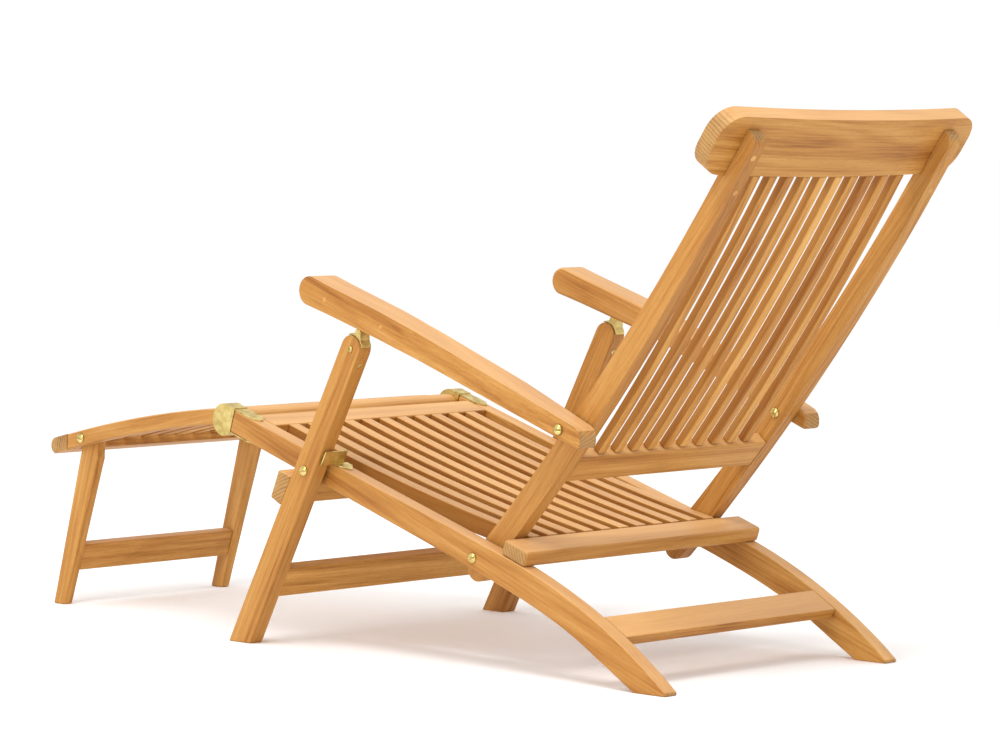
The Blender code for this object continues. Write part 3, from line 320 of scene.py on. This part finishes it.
def half_panel(joint_y, front):
    """The footrest panel's mesh on one side of its joint: the front rail, or else all of the slats."""
    bm = clean_copy("footrest_panel")
    geometry = bm.verts[:] + bm.edges[:] + bm.faces[:]
    bmesh.ops.bisect_plane(bm, geom=geometry, plane_co=(0, joint_y, 0), plane_no=(0, 1, 0), clear_outer=front,
                           clear_inner=not front)
    bmesh.ops.holes_fill(bm, edges=[e for e in bm.edges if e.is_boundary], sides=0)
    return bm


def footrest_boards():
    """The footrest's front rail and its slats, parted at the joint so that each has its own grain."""
    joint_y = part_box("footrest_rail_left")[0][1] - FOOTREST_JOINT_GAP
    bm = half_panel(joint_y, True)
    bmesh.ops.dissolve_limit(bm, angle_limit=FLAT, verts=bm.verts, edges=bm.edges)
    bmesh.ops.recalc_face_normals(bm, faces=bm.faces)
    ease(bm, FRONT_RAIL_EASING)
    grain_of(bm)
    finished("footrest_front_rail", bm, TEAK_FRAME, "footrest", "teak_frame", "footrest_panel")

    bm = half_panel(joint_y, False)
    bmesh.ops.recalc_face_normals(bm, faces=bm.faces)
    spans = islands(bm)
    whole = bpy.data.meshes.new("footrest_slats")
    bm.to_mesh(whole)
    bm.free()
    for number, (low_x, high_x) in enumerate(spans):
        bm = bmesh.new()
        bm.from_mesh(whole)
        others = [vert for vert in bm.verts if not low_x - SLAT_MARGIN < vert.co.x < high_x + SLAT_MARGIN]
        bmesh.ops.delete(bm, geom=others, context="VERTS")
        bmesh.ops.dissolve_limit(bm, angle_limit=FLAT, verts=bm.verts, edges=bm.edges)
        ease(bm, FOOTREST_SLAT_EASING)
        grain_of(bm, True)
        finished(f"footrest_slat_{number + 1}", bm, TEAK_SLATS, "footrest", "teak_slats")
    bpy.data.meshes.remove(whole)


footrest_boards()


# ---- brass pieces ----
BRASS_EASING = 0.0005

for node in sorted(BODY_OF):
    if SLOT_OF[node] == "brass" and "_bolt_" not in node:
        bm = clean_copy(node)
        ease(bm, BRASS_EASING, 2)
        for face in bm.faces:
            face.smooth = True
        finished("finished_" + node, bm, CAST_BRASS, BODY_OF[node], "brass", node)


def along_normal(point, normal, spin):
    """A place whose +Z is the outward normal there, turned about it."""
    turn = Vector((0, 0, 1)).rotation_difference(Vector(normal).normalized()).to_matrix().to_4x4()
    return Matrix.Translation(point) @ turn @ Matrix.Rotation(spin, 4, "Z")


POLE_WELD = 0.000001          # the vertices at a turned shape's poles are nearer each other than this


def spun(profile, steps):
    """A turned shape about Z from a profile of (radius, height), closed at both ends."""
    bm = bmesh.new()
    verts = [bm.verts.new((radius, 0, height)) for radius, height in profile]
    edges = [bm.edges.new(pair) for pair in zip(verts, verts[1:])]
    bmesh.ops.spin(bm, geom=verts + edges, cent=(0, 0, 0), axis=(0, 0, 1), angle=2 * pi, steps=steps,
                   use_merge=True)
    bmesh.ops.remove_doubles(bm, verts=bm.verts, dist=POLE_WELD)
    bmesh.ops.recalc_face_normals(bm, faces=bm.faces)
    return bm


def cut(bm, cutters):
    """The shape with boxes taken away, each a (matrix, size) with its centre at the matrix."""
    mesh = bpy.data.meshes.new("blank")
    bm.to_mesh(mesh)
    bm.free()
    blank = bpy.data.objects.new("blank", mesh)
    bpy.context.scene.collection.objects.link(blank)
    tools = []
    for matrix, size in cutters:
        tool_bm = bmesh.new()
        bmesh.ops.create_cube(tool_bm, size=1.0, matrix=matrix @ Matrix.Diagonal((*size, 1)))
        tool_mesh = bpy.data.meshes.new("cutter")
        tool_bm.to_mesh(tool_mesh)
        tool_bm.free()
        tool = bpy.data.objects.new("cutter", tool_mesh)
        bpy.context.scene.collection.objects.link(tool)
        tools.append(tool)
        boolean = blank.modifiers.new("Slot", "BOOLEAN")
        boolean.operation = "DIFFERENCE"
        boolean.solver = "EXACT"
        boolean.object = tool
    bpy.context.view_layer.update()
    evaluated = blank.evaluated_get(bpy.context.evaluated_depsgraph_get())
    result = bmesh.new()
    result.from_mesh(evaluated.to_mesh())
    evaluated.to_mesh_clear()
    for obj in [blank] + tools:
        leftover = obj.data
        bpy.data.objects.remove(obj, do_unlink=True)
        bpy.data.meshes.remove(leftover)
    return result


CREASE = radians(35)          # turned and cut shapes keep edges sharper than this crisp


def smooth_but_sharp(bm):
    """Smooth shading everywhere but over a crisp edge."""
    for face in bm.faces:
        face.smooth = True
    for edge in bm.edges:
        edge.smooth = not (edge.is_manifold and edge.calc_face_angle(0.0) > CREASE)


SLOT_WIDTH = 0.0023
SLOT_DEPTH = 0.0024
SLOT_REACH = 0.03             # longer than any head is wide
SCREW_SINK = 0.0012           # how far a screw's head goes on below the surface
PLUG_SINK = 0.0015


def slotted_bolt(node):
    """A through bolt whose domed heads get the slot that a screwdriver turns."""
    low, high = (Vector(corner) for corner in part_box(node))
    middle = (low + high) / 2
    side = 1 if middle.x > 0 else -1
    outer_x = high.x if side > 0 else low.x
    inner_x = low.x if side > 0 else high.x
    bm = clean_copy(node)
    cutters = []
    for x in (outer_x, inner_x):
        place = Matrix.Translation((x, middle.y, middle.z)) @ Matrix.Rotation(random.uniform(0, pi), 4, "X")
        cutters.append((place, (2 * SLOT_DEPTH, SLOT_WIDTH, SLOT_REACH)))
    bm = cut(bm, cutters if "back" in node or "arm" in node else cutters[:1])
    smooth_but_sharp(bm)
    finished("slotted_" + node, bm, BOLT_BRASS, BODY_OF[node], "brass", node)


for node in sorted(BODY_OF):
    if "_bolt_" in node:
        slotted_bolt(node)


def screw(name, point, normal, body, radius, height=0.0011):
    """The slightly domed, slotted head of a wood screw, let in to just above the surface."""
    profile = [(0.0, height), (radius * 0.5, height * 0.86), (radius * 0.85, height * 0.45), (radius, 0.0),
               (radius * 0.55, -SCREW_SINK), (0.0, -SCREW_SINK)]
    bm = spun(profile, 24)
    bm = cut(bm, [(Matrix.Translation((0, 0, height)), (SLOT_REACH, radius * 0.32, height * 1.6))])
    bmesh.ops.transform(bm, matrix=along_normal(point, normal, random.uniform(0, pi)), verts=bm.verts)
    smooth_but_sharp(bm)
    finished(name, bm, BOLT_BRASS, body, "brass")


def plug(name, point, normal, body, radius=0.0046):
    """A glued wooden plug, planed off just proud, over a sunk screw."""
    profile = [(0.0, 0.00035), (radius * 0.92, 0.00030), (radius, 0.00005), (radius, -PLUG_SINK),
               (0.0, -PLUG_SINK)]
    bm = spun(profile, 20)
    bmesh.ops.transform(bm, matrix=along_normal(point, normal, random.uniform(0, pi)), verts=bm.verts)
    grain_of(bm)
    for face in bm.faces:
        face[bm.faces.layers.float["endwise"]] = 0.0
        # every face of a plug gets a fixed share of the painted top light, which makes the plug paler
        face[bm.faces.layers.float["painted_top_light"]] = 0.30
    finished(name, bm, TEAK_SLATS, body, "teak_slats")


def surface_hit(node, start, direction):
    """Where a straight line from outside first meets a CAD node, and the outward normal there."""
    mesh = frame["nodes"][node].data
    tree = BVHTree.FromPolygons([v.co for v in mesh.vertices], [p.vertices for p in mesh.polygons])
    place, normal, _, _ = tree.ray_cast(Vector(start), Vector(direction).normalized())
    if place is None:
        raise ValueError(f"nothing of {node} lies on that line")
    return place, normal


CAP_SCREW, CAP_SCREW_BACK = 0.0046, 0.020          # radius, and distance from the rear end of the cap's strap
LOW_CAP_SCREW, LOW_CAP_SCREW_BACK = 0.0042, 0.024
BRACKET_SCREW, BRACKET_SCREW_BACK = 0.0036, 0.014
BRACKET_X = 0.2485                                 # middle of a side rail's top
HOOK_SCREW, HOOK_SCREW_DROP = 0.0046, 0.047        # radius, and distance below the top of the leg
HOOK_BOLT, HOOK_BOLT_HEIGHT = 0.0056, 0.0026
HOOK_BOLT_BACK, HOOK_BOLT_DROP = 0.0188, 0.021     # from the rear and from the top of the leg's box
STILE_PLUG_DROPS = (0.040, 0.088)                  # below the stile's top
ARM_PLUGS = ((0.055, 0.034), (0.175, 0.071))       # behind the arm's front end, and below its top
ARM_PLUG = 0.0040


def fix_screws():
    """Screws of the knee caps, brackets and leg hooks, each found on the face it goes through."""
    for word, side in (("left", 1), ("right", -1)):
        cap = f"knee_cap_{word}"
        low, high = (Vector(corner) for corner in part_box(cap))
        mid_x = (low.x + high.x) / 2
        place, normal = surface_hit(cap, (mid_x, high.y - CAP_SCREW_BACK, 1.0), (0, 0, -1))
        screw(f"cap_screw_{word}", place, normal, "seat_frame", CAP_SCREW)
        place, normal = surface_hit(cap, (mid_x, high.y - LOW_CAP_SCREW_BACK, 0.0), (0, 0, 1))
        screw(f"cap_screw_low_{word}", place, normal, "seat_frame", LOW_CAP_SCREW)
        bracket = f"stop_bracket_{word}"
        low, high = (Vector(corner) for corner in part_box(bracket))
        start = (side * BRACKET_X, high.y - BRACKET_SCREW_BACK, 1.0)
        place, normal = surface_hit(bracket, start, (0, 0, -1))
        screw(f"bracket_screw_{word}", place, normal, "seat_frame", BRACKET_SCREW)
        leg = f"front_leg_{word}"
        low, high = (Vector(corner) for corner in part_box(leg))
        mid_x = (low.x + high.x) / 2
        place, normal = surface_hit(leg, (mid_x, 1.0, high.z - HOOK_SCREW_DROP), (0, -1, 0))
        screw(f"hook_screw_{word}", place, normal, "front_legs", HOOK_SCREW)
        pin = Vector((side, high.y - HOOK_BOLT_BACK, high.z - HOOK_BOLT_DROP))
        place, normal = surface_hit(leg, pin, (-side, 0, 0))
        screw(f"hook_bolt_{word}", place, normal, "front_legs", HOOK_BOLT, HOOK_BOLT_HEIGHT)


def fix_plugs():
    """Plugs over the screws of the headboard and of the arms."""
    for word, side in (("left", 1), ("right", -1)):
        stile = f"stile_{word}"
        low, high = (Vector(corner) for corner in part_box(stile))
        for number, drop in enumerate(STILE_PLUG_DROPS):
            place, normal = surface_hit(stile, ((low.x + high.x) / 2, 2.0, high.z - drop), (0, -1, 0))
            plug(f"stile_plug_{word}_{number + 1}", place, normal, "back")
        arm = f"arm_{word}"
        low, high = (Vector(corner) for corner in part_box(arm))
        for number, (back, drop) in enumerate(ARM_PLUGS):
            place, normal = surface_hit(arm, (side, low.y + back, high.z - drop), (-side, 0, 0))
            plug(f"arm_plug_{word}_{number + 1}", place, normal, f"arm_{word}", ARM_PLUG)


fix_screws()
fix_plugs()


# ---- floor, light and camera ----
FLOOR_HALF_SIZE = 60.0
WORLD_STRENGTH = 1.03
LAMPS = (("top", (1.4, 0.8, 3.6), 1.6, 58), ("side", (4.2, 0.4, 1.9), 1.6, 36))   # name, place, size, power
LAMP_AIM = Vector((0, 0, 0.35))


def studio():
    """A pale floor under a white sky, with two soft lamps."""
    bm = bmesh.new()
    bmesh.ops.create_grid(bm, x_segments=2, y_segments=2, size=FLOOR_HALF_SIZE)
    mesh = bpy.data.meshes.new("floor")
    bm.to_mesh(mesh)
    bm.free()
    floor = bpy.data.objects.new("floor", mesh)
    bpy.context.scene.collection.objects.link(floor)
    paper = Shader("pale_floor")
    paper.surface.inputs["Base Color"].default_value = (0.98, 0.98, 0.98, 1)
    paper.surface.inputs["Roughness"].default_value = 0.9
    paper.surface.inputs["Specular IOR Level"].default_value = 0.0
    mesh.materials.append(paper.material)

    world = bpy.data.worlds.new("studio")
    world.use_nodes = True
    background = world.node_tree.nodes["Background"]
    background.inputs["Color"].default_value = (1, 1, 1, 1)
    background.inputs["Strength"].default_value = WORLD_STRENGTH
    bpy.context.scene.world = world
    for name, spot, size, power in LAMPS:
        lamp = bpy.data.lights.new(name, "AREA")
        lamp.shape = "DISK"
        lamp.size = size
        lamp.energy = power
        holder = bpy.data.objects.new(name, lamp)
        holder.location = spot
        holder.rotation_euler = (LAMP_AIM - Vector(spot)).to_track_quat("-Z", "Y").to_euler()
        bpy.context.scene.collection.objects.link(holder)


CAMERA_PLACE = Vector((4.4488, 4.3159, 0.8137))
CAMERA_AIM = Vector((0.0, 0.0687, 0.4076))
CAMERA_ROLL = radians(0.375)
CAMERA_LENS = 144.4


def camera():
    """The camera, about as high as the top of the chair and rolled by a fraction of a degree."""
    forward = (CAMERA_AIM - CAMERA_PLACE).normalized()
    right = forward.cross(Vector((0, 0, 1))).normalized()
    up = right.cross(forward)
    level_right = right.copy()
    right = cos(CAMERA_ROLL) * level_right + sin(CAMERA_ROLL) * up
    up = cos(CAMERA_ROLL) * up - sin(CAMERA_ROLL) * level_right
    lens = bpy.data.cameras.new("camera")
    lens.lens = CAMERA_LENS
    lens.sensor_width = 36.0
    holder = bpy.data.objects.new("camera", lens)
    facing = Matrix((right, up, -forward)).transposed().to_4x4()
    holder.matrix_world = Matrix.Translation(CAMERA_PLACE) @ facing
    bpy.context.scene.collection.objects.link(holder)
    bpy.context.scene.camera = holder


studio()
camera()
bpy.context.scene.view_settings.view_transform = "Standard"
